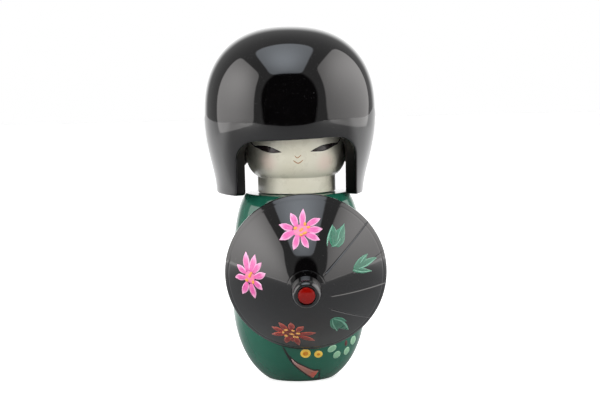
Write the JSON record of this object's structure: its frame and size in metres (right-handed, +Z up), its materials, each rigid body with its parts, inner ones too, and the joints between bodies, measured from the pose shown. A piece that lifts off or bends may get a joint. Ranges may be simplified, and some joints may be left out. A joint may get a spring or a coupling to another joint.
{
  "type": "kokeshi doll",
  "caption": "Lacquered turned-wood kokeshi doll with a hollow bobbed hair cap, a turning head and a round parasol on a peg in front of its body.",
  "frame": {"origin": "centre of the flat base that the doll stands on", "axes": "+Z up along the body's axis, the face and the parasol look along -Y, +X to the right of someone facing the doll"},
  "size_m": [0.06, 0.0821, 0.12],
  "materials": {
    "green_lacquer": "deep green gloss lacquer over turned wood, with painted motifs",
    "black_lacquer": "black gloss lacquer over turned wood",
    "cream_paint": "cream semi-gloss paint over turned wood",
    "red_lacquer": "red gloss lacquer over turned wood",
    "bare_wood": "bare turned wood"
  },
  "bodies": {
    "body": {"body": "green_lacquer", "neck_dowel": "bare_wood"},
    "head": {"head": "cream_paint", "hair_cap": "black_lacquer", "hair_dowel": "bare_wood"},
    "parasol": {"parasol_canopy": "black_lacquer", "parasol_ferrule": "black_lacquer", "parasol_tip": "red_lacquer", "parasol_shaft": "bare_wood"}
  },
  "joints": [
    {"name": "head_turn", "type": "hinge", "parent": "body", "child": "head", "pos_m": [0, 0, 0.0636], "axis": [0, 0, 1], "continuous": true},
    {"name": "parasol_spin", "type": "hinge", "parent": "body", "child": "parasol", "pos_m": [0.0024, -0.0263, 0.0391], "axis": [0, -0.9882, -0.153], "continuous": true}
  ]
}
